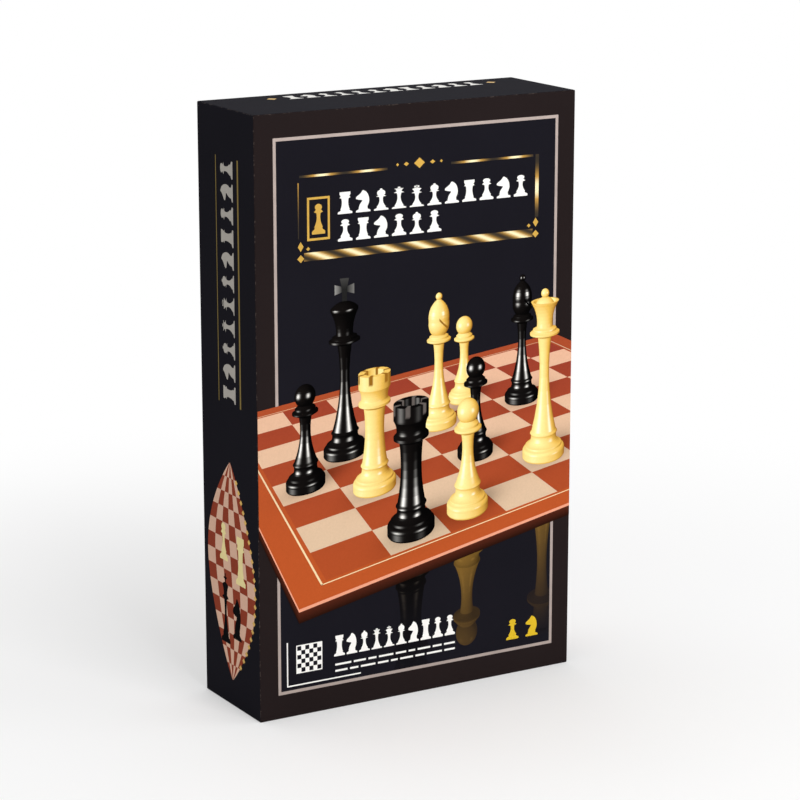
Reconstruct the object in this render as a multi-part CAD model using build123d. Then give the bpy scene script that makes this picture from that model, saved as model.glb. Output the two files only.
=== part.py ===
"""A boxed chess set: a full-depth card lid over a card base, a moulded tray of 32 turned men,
a rules leaflet and a half-fold board. Millimetres, +Z up. The box stands on its short end, with
its printed front towards -Y and its origin at the middle of the end that it stands on."""
from build123d import *
import math
import os

os.makedirs("parts", exist_ok=True)

# The box, as it stands closed
box_width = 161.0
box_depth = 52.0
box_height = 267.0
card = 1.5                # grey card in the walls of the lid and the base
paper = 0.2               # wrapping paper glued over the card
turn_in = 15.0            # how far the wrapping folds in over each rim
card_fold_radius = 0.4    # roundness of a folded corner of the card
lid_slip = 0.35           # gap all round between the base and the lid's turned-in paper
rim_gap = 0.3             # between the rim of the base and the lid's face

# The board, folded in half with its playing faces together
board_card = 2.0
board_paper = 0.2
crease_gap = 0.6          # between the two playing faces, at the fold
board_border = 2.0        # the lining paper that shows round the printed face
board_end_gap = 1.35      # between the board and each end of the base
board_lid_gap = 0.7       # between the folded board and the lid's face

# The rules leaflet, folded once
leaflet_width = 118.0
leaflet_height = 178.0
leaflet_sheet = 0.15
leaflet_gap = 0.1         # between its two leaves

# The moulded tray
rest_gap = 0.3            # under whatever only lies on its seat
tray_side_gap = 0.35      # between the tray and the walls of the base
sheet = 0.6               # thickness of the moulded sheet
tray_corner_radius = 5.0
deck_edge_radius = 1.2
pocket_side_clearance = 0.35
pocket_end_clearance = 0.6
man_below_deck = 0.5      # how far a man's foot lies under the deck
row_end_margin = 3.6      # deck left outside the rows and beside the pockets
row_gap_share = 3 / 7     # of the length that the men leave over: deck between their two rows
well_gap_share = 0.15     # of the same length: deck between the pawns and the finger well
well_width = 112.0
well_depth = 13.0
well_roundness = 0.45     # radius of the well's corners over half its height
boss_radius = 4.0         # bosses that keep the board in the middle
boss_height = 4.6
boss_clearance = 0.5
boss_taper = 8.0

# The men: height and foot radius of each kind
heights = {"king": 66.0, "queen": 60.0, "bishop": 53.0, "knight": 45.0, "rook": 40.0, "pawn": 36.0}
foot_radii = {"king": 9.0, "queen": 8.75, "bishop": 8.25, "knight": 8.25, "rook": 8.25, "pawn": 7.5}
man_wall = 1.4            # wall of a hollow moulded man
core_height = 13.5        # of the cone at the top of his hollow
back_row = ["rook", "knight", "bishop", "queen", "king", "bishop", "knight", "rook"]
pawn_count = 8

# Levels that follow from the box
wall = card + paper
lid_face_y = -box_depth / 2 + wall               # inside of the lid's printed face
lid_inner_width = box_width - 2 * wall
lid_inner_height = box_height - 2 * wall
base_width = lid_inner_width - 2 * (paper + lid_slip)
base_height = lid_inner_height - 2 * (paper + lid_slip)
base_rim_y = lid_face_y + rim_gap
base_back_y = box_depth / 2
base_floor_y = base_back_y - wall
base_inner_width = base_width - 2 * wall
base_inner_height = base_height - 2 * wall
middle_z = box_height / 2

leaf_height = base_inner_height - 2 * board_end_gap
leaf_width = leaf_height / 2                     # the open board is square
leaf_thickness = board_card + 2 * board_paper
board_front_y = lid_face_y + board_lid_gap
fold_y = board_front_y + leaf_thickness + crease_gap / 2
fold_x = -leaf_width / 2 - crease_gap / 2
board_back_y = fold_y + crease_gap / 2 + leaf_thickness

leaflet_thickness = 2 * leaflet_sheet + leaflet_gap
leaflet_front_y = board_back_y + rest_gap
deck_y = leaflet_front_y + leaflet_thickness + rest_gap
tray_width = base_inner_width - 2 * (paper + tray_side_gap)
tray_height = base_inner_height - 2 * (paper + tray_side_gap)
tray_foot_y = base_floor_y - rest_gap


def block(x, y, z):
    """A box from its (low, high) pairs along each axis."""
    size = (x[1] - x[0], y[1] - y[0], z[1] - z[0])
    return Pos((x[0] + x[1]) / 2, (y[0] + y[1]) / 2, (z[0] + z[1]) / 2) * Box(*size)


def centred(width, y, height):
    """A box centred on the set in width and height, between two levels of depth."""
    return block((-width / 2, width / 2), y, (middle_z - height / 2, middle_z + height / 2))


def folded(solid, face_y, radius):
    """Round the four long folds of a box half and the edges of its closed face."""
    sides = solid.edges().filter_by(Axis.Y)
    face = solid.edges().filter_by_position(Axis.Y, face_y - 0.01, face_y + 0.01)
    return fillet(sides + face, radius)


def box_half(width, height, face_y, rim_y):
    """The card and the wrapping paper of a half, from its closed face to its open rim."""
    inward = 1 if rim_y > face_y else -1
    card_face, card_rim = face_y + inward * paper, rim_y - inward * paper
    floor = face_y + inward * wall
    fold = rim_y - inward * turn_in
    span = lambda a, b: (min(a, b), max(a, b))
    inner_width, inner_height = width - 2 * wall, height - 2 * wall
    body = centred(width - 2 * paper, span(card_face, card_rim), height - 2 * paper)
    body = folded(body, card_face, card_fold_radius)
    body -= centred(inner_width, span(floor, card_rim), inner_height)
    wrap = folded(centred(width, span(face_y, rim_y), height), face_y, card_fold_radius + paper)
    wrap -= centred(inner_width, span(floor, fold), inner_height)
    wrap -= centred(inner_width - 2 * paper, span(fold, rim_y), inner_height - 2 * paper)
    return body, wrap - body


def leaf(near_y, back_sign):
    """One half of the board: its card, printed face and lining, from the playing face back."""
    def layer(start, end, edge):
        y = sorted((near_y + back_sign * start, near_y + back_sign * end))
        x = (fold_x + crease_gap / 2, fold_x + crease_gap / 2 + leaf_width - edge)
        return block(x, y, (middle_z - leaf_height / 2 + edge, middle_z + leaf_height / 2 - edge))
    core = layer(board_paper, board_paper + board_card, board_paper)
    face = layer(0, board_paper, board_border)
    lining = layer(0, leaf_thickness, 0) - core - face
    return core, face, lining


def leaflet():
    """A sheet folded once: two flat leaves joined by a round fold along its left edge."""
    low, high = leaflet_front_y, leaflet_front_y + leaflet_thickness
    z = (middle_z - leaflet_height / 2, middle_z + leaflet_height / 2)
    outer, inner = leaflet_thickness / 2, leaflet_gap / 2
    left, right = -leaflet_width / 2, leaflet_width / 2
    centre = (left + outer, (low + high) / 2, middle_z)
    sheets = block((left + outer, right), (low, high), z)
    sheets += Pos(*centre) * Cylinder(outer, leaflet_height)
    sheets -= block((left + outer, right), (centre[1] - inner, centre[1] + inner), z)
    return sheets - Pos(*centre) * Cylinder(inner, leaflet_height)


def turned(stations):
    """Turn a profile about +Z. A station is (radius, height, bulge); the bulge is the height of
    the arc that reaches it, swelling outwards when positive and hollow when negative."""
    edges = []
    for (r0, z0, _), (r1, z1, bulge) in zip(stations, stations[1:]):
        start, end = (r0, 0, z0), (r1, 0, z1)
        if bulge:
            length = math.hypot(r1 - r0, z1 - z0)
            out = (z1 - z0) / length, -(r1 - r0) / length
            middle = ((r0 + r1) / 2 + bulge * out[0], 0, (z0 + z1) / 2 + bulge * out[1])
            edges.append(ThreePointArc(start, middle, end))
        else:
            edges.append(Line(start, end))
    low, high = stations[0][1], stations[-1][1]
    edges.append(Line((0, 0, high), (0, 0, low)))
    edges.append(Line((0, 0, low), (stations[0][0], 0, low)))
    return revolve(Face(Wire(edges)), Axis.Z)


def ball_on(neck, ball, top):
    """The stations of a ball that stands on a neck and reaches up to the top on the axis."""
    angle = math.pi / 2 + math.acos(neck / ball)
    foot_z = top - ball - math.sqrt(ball**2 - neck**2)
    return [(neck, foot_z, 0), (0, top, ball * (1 - math.cos(angle / 2)))]


def foot(radius):
    """The stations of a foot: a low plinth, a rounded step and a bell that draws in to a ring."""
    return [(radius - 0.4, 0, 0), (radius, 0.5, 0), (radius, 2.3, 0),
            (0.87 * radius, 4.0, 0.45), (0.87 * radius, 4.6, 0), (0.60 * radius, 8.2, -0.9),
            (0.65 * radius, 8.8, 0), (0.58 * radius, 9.6, 0)]


def stem(neck, waist, reach, z):
    """The stations of a hollow-sided stem and of the double collar on top of it."""
    return [(neck, z, -waist), (reach, z + 1.2, 0), (reach, z + 1.8, 0),
            (0.78 * reach, z + 2.3, 0), (0.80 * reach, z + 3.0, 0), (neck + 0.5, z + 3.6, 0)]


def hollow(radius):
    """The open core of a moulded man, which follows his foot inside and ends in a cone."""
    return turned([(radius - man_wall, 0, 0), (0.87 * radius - man_wall, 3.4, 0),
                   (0.60 * radius - man_wall, 7.2, 0), (0, core_height, 0)])


def pawn(height, radius):
    neck, ball = 0.32 * radius, 0.53 * radius
    shoulder = height - 2 * ball - 3.0
    stations = foot(radius) + stem(neck, 1.2, 0.66 * radius, shoulder)[:-1]
    return turned(stations + ball_on(neck + 0.3, ball, height)) - hollow(radius)


def bishop(height, radius):
    """A mitre on a tall stem, with its slanted cut and a small ball on top."""
    neck, mitre, knob = 0.30 * radius, 0.56 * radius, 0.18 * radius
    mitre_z = height - 16.5
    stations = foot(radius) + stem(neck, 1.5, 0.66 * radius, mitre_z - 3.6)
    stations += [(mitre, mitre_z + 5.4, 0.7), (0.6 * knob, height - 1.8 * knob, 1.4)]
    body = turned(stations + ball_on(0.6 * knob, knob, height)[1:])
    body -= Pos(0.8 * mitre, 0, mitre_z + 8.6) * Rot(0, 40, 0) * Box(1.1, 3 * mitre, 7.0)
    return body - hollow(radius)


def queen(height, radius):
    """A flared coronet with a ring of scallops cut through its rim, and a ball on its dome."""
    neck, rim, knob, scallops = 0.32 * radius, 0.66 * radius, 0.19 * radius, 9
    crown_z, rim_z = height - 13.5, height - 4.4
    stations = foot(radius) + stem(neck, 1.8, 0.70 * radius, crown_z - 3.6)
    stations += [(rim, rim_z, -0.9), (rim - 1.0, rim_z, 0), (rim - 1.8, rim_z - 1.2, 0),
                 (0.6 * knob, height - 1.8 * knob, 0.5)]
    body = turned(stations + ball_on(0.6 * knob, knob, height)[1:])
    for step in range(scallops):
        across = Pos(rim, 0, rim_z + 0.3) * Rot(0, 90, 0) * Cylinder(0.22 * rim, 2.8)
        body -= Rot(0, 0, 360 / scallops * step) * across
    return body - hollow(radius)


def king(height, radius):
    """A tall crown with a domed top and a cross with four flared arms."""
    neck, rim, cross_height = 0.33 * radius, 0.64 * radius, 9.4
    dome_z = height - cross_height
    crown_z = dome_z - 11.5
    stations = foot(radius) + stem(neck, 2.0, 0.72 * radius, crown_z - 3.6)
    stations += [(rim, dome_z - 2.4, -0.7), (rim, dome_z - 1.6, 0), (0, dome_z + 0.9, 0.6)]
    narrow, broad, thickness, reach = 0.95, 2.0, 2.3, 4.1
    cross = Pos(0, 0, height - reach) * Box(2 * narrow, thickness, 2 * narrow)
    for quarter, length in enumerate((reach, reach, cross_height - reach, reach)):
        flare = Polyline((-narrow, 0), (-broad, length), (broad, length), (narrow, 0), close=True)
        arm = extrude(Plane.XZ * make_face(flare), thickness / 2, both=True)
        cross += Pos(0, 0, height - reach) * Rot(0, 90 * quarter, 0) * arm
    return turned(stations) + cross - hollow(radius)


def rook(height, radius):
    """A tower with a hollow top and three saw cuts, which leave six battlements."""
    waist, head, well, cuts, cut_width = 0.50 * radius, 0.74 * radius, 0.46 * radius, 3, 1.9
    head_z, well_z, cut_depth = height - 9.0, height - 3.4, 2.3
    stations = foot(radius) + [(waist, head_z - 2.6, -0.8), (head, head_z - 1.6, 0),
                               (head, head_z - 0.8, 0), (0.62 * radius, head_z, 0),
                               (head, height - 4.8, -0.4), (head, height, 0), (well, height, 0),
                               (well, well_z, 0), (0, well_z, 0)]
    body = turned(stations)
    for step in range(cuts):
        body -= Rot(0, 0, 180 / cuts * (step + 0.5)) * Pos(0, 0, height) * Box(
            4 * head, cut_width, 2 * cut_depth)
    return body - hollow(radius)


def knight(height, radius):
    """A carved horse's head on a turned plinth. Its side view is cut through its front view, then
    the muzzle is narrowed, the ears parted, and the mane, eyes, nostrils and mouth are cut in.
    The points are drawn for a knight 45 high on a foot of radius 8.25, nose towards +X."""
    up, across = height / 45, radius / 8.25
    at = lambda x, z: (x * across, z * up)
    arc = lambda *points: ThreePointArc(*(at(*point) for point in points))
    side_view = [Line(at(-5.6, 9.0), at(5.0, 9.0)),
                 arc((5.0, 9.0), (6.4, 16.0), (2.8, 23.6)),      # chest and throat
                 arc((2.8, 23.6), (3.6, 25.2), (4.9, 24.8)),     # jaw
                 arc((4.9, 24.8), (6.3, 24.0), (7.4, 25.3)),     # chin
                 arc((7.4, 25.3), (8.2, 27.6), (7.5, 30.2)),     # nose
                 arc((7.5, 30.2), (6.2, 33.4), (4.9, 37.2)),     # bridge
                 arc((4.9, 37.2), (4.6, 38.9), (3.6, 39.7)),     # brow
                 arc((3.6, 39.7), (3.7, 42.4), (2.2, 45.0)),     # front of the ear
                 arc((2.2, 45.0), (0.3, 42.8), (-0.9, 40.4)),    # back of the ear
                 arc((-0.9, 40.4), (-6.4, 32.6), (-7.6, 23.0)),  # crest
                 arc((-7.6, 23.0), (-7.6, 15.0), (-5.6, 9.0))]
    wide = lambda y, z: (y * across, z * up)
    front_view = [Line(wide(5.0, 9.0), wide(4.7, 20.0)),
                  ThreePointArc(wide(4.7, 20.0), wide(4.5, 28.0), wide(3.6, 36.0)),
                  ThreePointArc(wide(3.6, 36.0), wide(3.0, 40.6), wide(2.0, 45.0)),
                  Line(wide(2.0, 45.0), wide(0, 45.0)), Line(wide(0, 45.0), wide(0, 9.0)),
                  Line(wide(0, 9.0), wide(5.0, 9.0))]
    front = extrude(Plane.YZ * Face(Wire(front_view)), 2 * radius, both=True)
    head = extrude(Plane.XZ * Face(Wire(side_view)), radius, both=True)
    head &= front + mirror(front, Plane.XZ)
    head &= Cylinder(radius, 3 * height)                         # no wider than his foot
    beside_muzzle = [at(1.5, 4.9), at(10.5, 2.3), at(10.5, 9.0), at(1.5, 9.0)]
    wedge = Pos(0, 0, 22.8 * up) * extrude(make_face(Polyline(*beside_muzzle, close=True)), height)
    head -= wedge + mirror(wedge, Plane.XZ)
    head -= Pos(2.4 * across, 0, height) * Rot(45, 0, 0) * Box(6.0, 2.6, 2.6)
    head -= Pos(8.2 * across, 0, 26.9 * up) * Rot(0, 14, 0) * Box(5.0, 2 * radius, 0.7)
    for cheek in (1, -1):
        eyelid = Rot(90, 0, 0) * (Cylinder(1.25, 1.2) - Cylinder(0.7, 1.2))
        head -= Pos(4.1 * across, cheek * 4.0 * across, 34.6 * up) * eyelid
        head -= Pos(7.0 * across, cheek * 3.3 * across, 29.2 * up) * Sphere(0.6)
        for lock in range(6):
            spot = Pos((0.5 * lock - 6.4) * across, cheek * (5.0 - 0.16 * lock) * across,
                       (16.0 + 3.9 * lock) * up)
            head -= spot * Rot(0, 24, 0) * Box(5.8, 1.5, 0.8)
    plinth = turned(foot(radius) + [(0.66 * radius, 10.8, 0), (0, 11.6, 0)])
    return plinth + head - hollow(radius)


makers = {"king": king, "queen": queen, "bishop": bishop, "knight": knight, "rook": rook,
          "pawn": pawn}
men = {kind: makers[kind](heights[kind], foot_radii[kind]) for kind in heights}


def row_places(kinds):
    """The places across the tray of a row of men, with equal webs between their pockets."""
    widths = [2 * (foot_radii[kind] + pocket_side_clearance) for kind in kinds]
    spare = tray_width - 2 * row_end_margin - sum(widths)
    web = spare / (len(kinds) - 1)
    places, edge = [], -tray_width / 2 + row_end_margin
    for width in widths:
        places.append(edge + width / 2)
        edge += width + web
    return places


# Each man's foot stands towards the nearer end of the box: (node, kind, x, foot z, direction)
length_over = (tray_height / 2 - row_end_margin - heights["king"] - heights["pawn"]
               - 4 * pocket_end_clearance)
row_spacing, well_margin = row_gap_share * length_over, well_gap_share * length_over
back_row_foot = tray_height / 2 - row_end_margin - pocket_end_clearance
pawn_foot = back_row_foot - heights["king"] - 2 * pocket_end_clearance - row_spacing
places = []
for colour, end in (("cream", 1), ("black", -1)):
    counts = {}
    for kind, x in zip(back_row, row_places(back_row)):
        counts[kind] = counts.get(kind, 0) + 1
        number = f"_{counts[kind]}" if back_row.count(kind) > 1 else ""
        places.append((f"{colour}_{kind}{number}", kind, x, middle_z + end * back_row_foot, -end))
    for index, x in enumerate(row_places(["pawn"] * pawn_count)):
        places.append((f"{colour}_pawn_{index + 1}", "pawn", x, middle_z + end * pawn_foot, -end))


def axis_level(kind):
    """The depth of a lying man's axis, under the deck of the tray."""
    return deck_y + man_below_deck + foot_radii[kind]


def pocket(kind, x, foot_z, direction, extra):
    """A round-bottomed pocket for one man, or its outer form when extra is the sheet."""
    radius, level = foot_radii[kind] + pocket_side_clearance + extra, axis_level(kind)
    length = heights[kind] + 2 * (pocket_end_clearance + extra)
    middle = foot_z + direction * heights[kind] / 2
    left, right = x - radius, x + radius
    section = Wire([Line((left, deck_y), (left, level)),
                    ThreePointArc((left, level), (x, level + radius), (right, level)),
                    Line((right, level), (right, deck_y)), Line((right, deck_y), (left, deck_y))])
    return Pos(0, 0, middle) * extrude(Face(section), length / 2, both=True)


def boss(x, z):
    """A hollow tapered boss that stands up from the deck beside the board."""
    def cone(radius, top, foot_level):
        narrowed = radius - (foot_level - top) * math.tan(math.radians(boss_taper))
        return Pos(x, (top + foot_level) / 2, z) * Rot(-90, 0, 0) * Cone(
            narrowed, radius, foot_level - top)
    top = deck_y - boss_height
    return cone(boss_radius, top, deck_y), cone(boss_radius - sheet, top + sheet, deck_y + sheet)


def tray():
    """The moulded tray: a deck and skirt, a pocket for each man, a finger well and bosses."""
    outer = centred(tray_width, (deck_y, tray_foot_y), tray_height)
    outer = fillet(outer.edges().filter_by(Axis.Y), tray_corner_radius)
    outer = fillet(outer.faces().sort_by(Axis.Y)[0].edges(), deck_edge_radius)
    inner = centred(tray_width - 2 * sheet, (deck_y + sheet, tray_foot_y), tray_height - 2 * sheet)
    inner = fillet(inner.edges().filter_by(Axis.Y), tray_corner_radius - sheet)
    inner = fillet(inner.faces().sort_by(Axis.Y)[0].edges(), deck_edge_radius - sheet)
    well_half = pawn_foot - heights["pawn"] - pocket_end_clearance - well_margin
    bottom, well_radius = deck_y + well_depth, well_roundness * well_half
    well = fillet(centred(well_width, (deck_y, bottom), 2 * well_half).edges().filter_by(Axis.Y),
                  well_radius)
    well_outer = fillet(centred(well_width + 2 * sheet, (deck_y, bottom + sheet),
                                2 * (well_half + sheet)).edges().filter_by(Axis.Y),
                        well_radius + sheet)
    boss_x = leaf_width / 2 + boss_clearance + boss_radius
    gap_z = pawn_foot + pocket_end_clearance + row_spacing / 2
    bosses = [boss(sign * boss_x, middle_z + z) for sign in (1, -1) for z in (-gap_z, 0, gap_z)]
    spots = [(kind, x, z, direction) for _, kind, x, z, direction in places]
    shell = outer - inner
    shell += [pocket(*spot, sheet) for spot in spots] + [well_outer] + [b[0] for b in bosses]
    return shell - [pocket(*spot, 0.0) for spot in spots] - [well] - [b[1] for b in bosses]


def write(node, solid):
    export_step(solid, f"parts/{node}.step")


lid_card, lid_paper = box_half(box_width, box_height, -box_depth / 2, base_back_y)
base_card, base_paper = box_half(base_width, base_height, base_back_y, base_rim_y)
write("lid_shell", lid_card)
write("lid_wrap", lid_paper)
write("base_shell", base_card)
write("base_wrap", base_paper)
write("tray", tray())
write("leaflet", leaflet())
for side, near_y, back_sign in (("back", fold_y + crease_gap / 2, 1),
                                ("front", fold_y - crease_gap / 2, -1)):
    for layer_name, layer_solid in zip(("core", "face", "lining"), leaf(near_y, back_sign)):
        write(f"board_{side}_{layer_name}", layer_solid)
for node, kind, x, foot_z, direction in places:
    turn = Rot(0, 0 if direction > 0 else 180, 0)
    write(node, Pos(x, axis_level(kind), foot_z) * turn * men[kind])

print(f"fold axis x {fold_x:.3f} y {fold_y:.3f}, deck y {deck_y:.3f}, base rim y {base_rim_y:.3f}")
print(f"leaf {leaf_width:.2f} x {leaf_height:.2f}, tray {tray_width:.2f} x {tray_height:.2f}")
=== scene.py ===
# %% [markdown]
# A boxed chess set, made ready for its picture. The real thing is a card box wrapped in black
# printed paper under a matt film, with plastic men in a vacuum-formed tray inside it. The solids
# already have the right shapes, so most of the work here is finish and print. We start from the
# fixed frame and keep its size, because nothing that we add may grow the box.
# %% Load the frame
import math

import bmesh
import bpy
import numpy as np
from mathutils import Matrix, Vector


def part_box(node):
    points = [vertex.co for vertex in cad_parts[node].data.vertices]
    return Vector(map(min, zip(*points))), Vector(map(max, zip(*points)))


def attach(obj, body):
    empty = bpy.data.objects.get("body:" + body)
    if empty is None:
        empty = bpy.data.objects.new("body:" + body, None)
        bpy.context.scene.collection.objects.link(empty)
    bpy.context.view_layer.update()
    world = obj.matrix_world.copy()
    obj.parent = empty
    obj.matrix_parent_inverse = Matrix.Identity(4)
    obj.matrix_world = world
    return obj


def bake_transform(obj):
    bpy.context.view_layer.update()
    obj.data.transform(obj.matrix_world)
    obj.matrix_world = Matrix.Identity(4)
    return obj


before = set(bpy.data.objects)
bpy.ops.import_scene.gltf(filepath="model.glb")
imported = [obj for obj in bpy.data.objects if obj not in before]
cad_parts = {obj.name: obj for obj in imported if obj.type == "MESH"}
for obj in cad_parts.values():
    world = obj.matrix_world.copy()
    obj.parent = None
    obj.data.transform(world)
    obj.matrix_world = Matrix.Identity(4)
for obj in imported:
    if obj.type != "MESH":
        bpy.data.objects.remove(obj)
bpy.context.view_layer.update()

box_low, box_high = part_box("lid_wrap")
MM = 0.001
width, depth, height = (box_high - box_low) / MM
front_y = box_low.y / MM
print("box in mm", round(width, 2), round(depth, 2), round(height, 2))

# %% [markdown]
# Colours are written as the hex values that a picture editor shows. Blender mixes light in linear
# numbers, so one function turns each hex value to linear, and everything else calls it.
# %% Colour


def linear(code):
    """An sRGB hex colour as linear RGBA: a channel c is ((c + 0.055) / 1.055) to the power 2.4, or
    c / 12.92 where it is very dark."""
    srgb = np.array([int(code[i:i + 2], 16) for i in (1, 3, 5)]) / 255
    rgb = np.where(srgb > 0.04045, ((srgb + 0.055) / 1.055) ** 2.4, srgb / 12.92)
    return (*rgb.tolist(), 1.0)


def linear_rgb(code):
    """The same without alpha, as an array, for inks that are worked out point by point."""
    return np.array(linear(code)[:3])


print("cream in linear numbers", linear_rgb("#f3dd8a").round(3))

# %% [markdown]
# A material is a small graph of nodes. One helper adds a node, gives it its settings and joins its
# inputs, so that each finish below reads as a short list. Constant values, such as IOR, go on the
# shader's own sockets. Patterns start from the object's own coordinates, and their scale comes from
# a real size in millimetres.
# %% Nodes


def plug(tree, node, inputs):
    """Set inputs of a node, listed in order or mapped by socket. Each is a value, an output, or
    another node, which stands for its first output in use."""
    pairs = inputs.items() if isinstance(inputs, dict) else enumerate(inputs)
    for socket, value in pairs:
        if isinstance(value, bpy.types.Node):
            value = next(output for output in value.outputs if output.enabled)
        if isinstance(value, bpy.types.NodeSocket):
            tree.links.new(value, node.inputs[socket])
        else:
            node.inputs[socket].default_value = value


def add(tree, kind, inputs=(), **settings):
    """Add the node that Blender calls ShaderNode and the kind, with its settings and inputs."""
    node = tree.nodes.new("ShaderNode" + kind)
    for name, value in settings.items():
        setattr(node, name, value)
    plug(tree, node, inputs)
    return node


def start_material(name, **sockets):
    """A material with these values on its shader: material, tree, shader and coordinates."""
    material = bpy.data.materials.new(name)
    material.use_nodes = True
    tree = material.node_tree
    shader = tree.nodes["Principled BSDF"]
    plug(tree, shader, {socket.replace("_", " "): value for socket, value in sockets.items()})
    return material, tree, shader, add(tree, "TexCoord").outputs["Object"]


def fine_bump(tree, shader, place, grain_mm, strength, depth_mm=0.02):
    """Bump from noise whose lumps are grain_mm across; gives the noise back."""
    noise = add(tree, "TexNoise", {"Vector": place, "Scale": 1 / (grain_mm * MM), "Detail": 3.0})
    bump = add(tree, "Bump", {"Height": noise, "Strength": strength, "Distance": depth_mm * MM})
    plug(tree, shader, {"Normal": bump})
    return noise


def drift(tree, place, size_mm, first, second):
    """A colour that drifts between two, by noise whose lumps are size_mm across."""
    noise = add(tree, "TexNoise", {"Vector": place, "Scale": 1 / (size_mm * MM)})
    return add(tree, "Mix", {0: noise, 6: first, 7: second}, data_type="RGBA")


def clouded(tree, colour, place, size_mm, spread):
    """A colour made darker and lighter by that share, over lumps of size_mm."""
    dark, light = ((1 + way * spread,) * 3 + (1,) for way in (-1, 1))
    shade = drift(tree, place, size_mm, dark, light)
    return add(tree, "Mix", {0: 1.0, 6: colour, 7: shade}, data_type="RGBA", blend_type="MULTIPLY")


print("scale of a pattern with lumps of 1 mm:", round(1 / MM))

# %% [markdown]
# The wrap of the lid is art paper, printed black and covered with a matt film. The film scatters
# light, so the black has a soft sheen and no mirror image. The level of that sheen is set very low,
# because a white room would otherwise turn the black grey. Two blacks are printed on it: a warm one
# on the border of the front, and a cooler one inside the frame line and on the other faces. The
# sharp folds rub through first, so a mask worked out from the distance to the nearest fold lets
# grey card show there in specks.
# %% Printed wrap
frame_side, frame_top, frame_bottom = 9.0, 10.4, 11.0  # border outside the frame line, in mm
FILM = {"Roughness": 0.6, "IOR": 1.5, "Specular_IOR_Level": 0.006}


def edge_distance(tree, axes):
    """Distance in metres to the nearest fold: the middle one of the distances to the three pairs
    of faces, since on a face the least of them is nought. It is their sum less both ends."""
    halves = (width / 2 * MM, depth / 2 * MM, height / 2 * MM)
    centres = (0.0, 0.0, height / 2 * MM)
    gaps = []
    for axis, half, centre in zip(axes, halves, centres):
        offset = add(tree, "Math", (axis, centre), operation="SUBTRACT")
        size = add(tree, "Math", (offset,), operation="ABSOLUTE")
        gaps.append(add(tree, "Math", (half, size), operation="SUBTRACT"))
    low, high, total = (
        add(tree, "Math", (gaps[0], add(tree, "Math", gaps[1:], operation=way)), operation=way)
        for way in ("MINIMUM", "MAXIMUM", "ADD"))
    ends = add(tree, "Math", (low, high), operation="ADD")
    return add(tree, "Math", (total, ends), operation="SUBTRACT")


def film_laminated_print():
    """Black print under matt film, clouded by 15 percent over 45 mm, and rubbed within about 1 mm
    of a fold."""
    material, tree, shader, place = start_material("matt_film_over_black_print", **FILM)
    x, y, z = axes = list(add(tree, "SeparateXYZ", (place,)).outputs)
    aside = add(tree, "Math", (x,), operation="ABSOLUTE")
    inside = 1.0
    for part, limit, way in ((aside, width / 2 - frame_side, "LESS_THAN"),
                             (z, frame_bottom, "GREATER_THAN"),
                             (z, height - frame_top, "LESS_THAN")):
        test = add(tree, "Math", (part, limit * MM), operation=way)
        inside = add(tree, "Math", (inside, test), operation="MULTIPLY")
    off_front = add(tree, "Math", (y, (front_y + 0.3) * MM), operation="GREATER_THAN")
    cool = add(tree, "Math", (inside, off_front), operation="MAXIMUM")
    ink = add(tree, "Mix", {0: cool, 6: linear("#221b1b"), 7: linear("#18171d")}, data_type="RGBA")
    ink = clouded(tree, ink, place, 45, 0.15)
    rub = add(tree, "TexNoise", {"Vector": place, "Scale": 1 / (1.1 * MM), "Detail": 3.0})
    reach = add(tree, "Math", (rub, 1.8 * MM, -0.8 * MM), operation="MULTIPLY_ADD")
    worn = add(tree, "Math", (edge_distance(tree, axes), reach), operation="LESS_THAN")
    share = add(tree, "Math", (worn, 0.3), operation="MULTIPLY")
    colour = add(tree, "Mix", {0: share, 6: ink, 7: linear("#6d625c")}, data_type="RGBA")
    plug(tree, shader, {"Base Color": colour})
    fine_bump(tree, shader, place, 0.9, 0.10)
    return material


print("frame line", frame_side, "mm in from the sides")

# %% [markdown]
# Under the wraps is grey chipboard, pressed from waste paper: matt, a little uneven, with darker
# fibres. The base is wrapped in plain black paper, and the board in black paper that is embossed
# with a leather grain. All of these are rough, so their detail is in colour and bump.
# %% Card and papers


def flecked_paper(name, colour, fleck, grain_mm, roughness, bump, gloss=0.5):
    """Matt paper or card: a base colour with flecks one grain across and a slight tooth."""
    material, tree, shader, place = start_material(
        name, Roughness=roughness, IOR=1.45, Specular_IOR_Level=gloss)
    noise = fine_bump(tree, shader, place, grain_mm, bump, 0.05)
    share = add(tree, "MapRange", (noise, 0.52, 0.72))
    tone = add(tree, "Mix", {0: share, 6: linear(colour), 7: linear(fleck)}, data_type="RGBA")
    plug(tree, shader, {"Base Color": tone})
    return material


def leather_grained_paper():
    """Embossed black lining: pebbles about 1.2 mm across with a soft sheen on their tops."""
    material, tree, shader, place = start_material(
        "leather_grained_black_paper", Roughness=0.55, IOR=1.5)
    pebbles = add(tree, "TexVoronoi", {"Vector": place, "Scale": 1 / (1.2 * MM)})
    tone = add(tree, "Mix", {0: pebbles, 6: linear("#0f0f10"), 7: linear("#232324")},
               data_type="RGBA")
    bump = add(tree, "Bump", {"Height": pebbles, "Strength": 0.5, "Distance": 0.08 * MM},
               invert=True)
    plug(tree, shader, {"Base Color": tone, "Normal": bump})
    return material


chipboard = flecked_paper("grey_chipboard", "#a39d94", "#6f6a63", 0.7, 0.95, 0.5)
black_paper = flecked_paper(
    "plain_black_wrapping_paper", "#171618", "#222123", 0.5, 0.7, 0.35, gloss=0.1)
white_paper = flecked_paper("uncoated_white_paper", "#ece9e2", "#dedad1", 0.4, 0.85, 0.2)
leather_paper = leather_grained_paper()
print("card and papers:", chipboard.name, black_paper.name, white_paper.name, leather_paper.name)

# %% [markdown]
# The men are injection-moulded polystyrene, polished in the mould. Polystyrene has an IOR of 1.59,
# and the cream one lets a little light in, which softens its shade side. The tray is the same
# plastic as a thin sheet drawn over a mould, with a duller skin.
# %% Plastics


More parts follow.
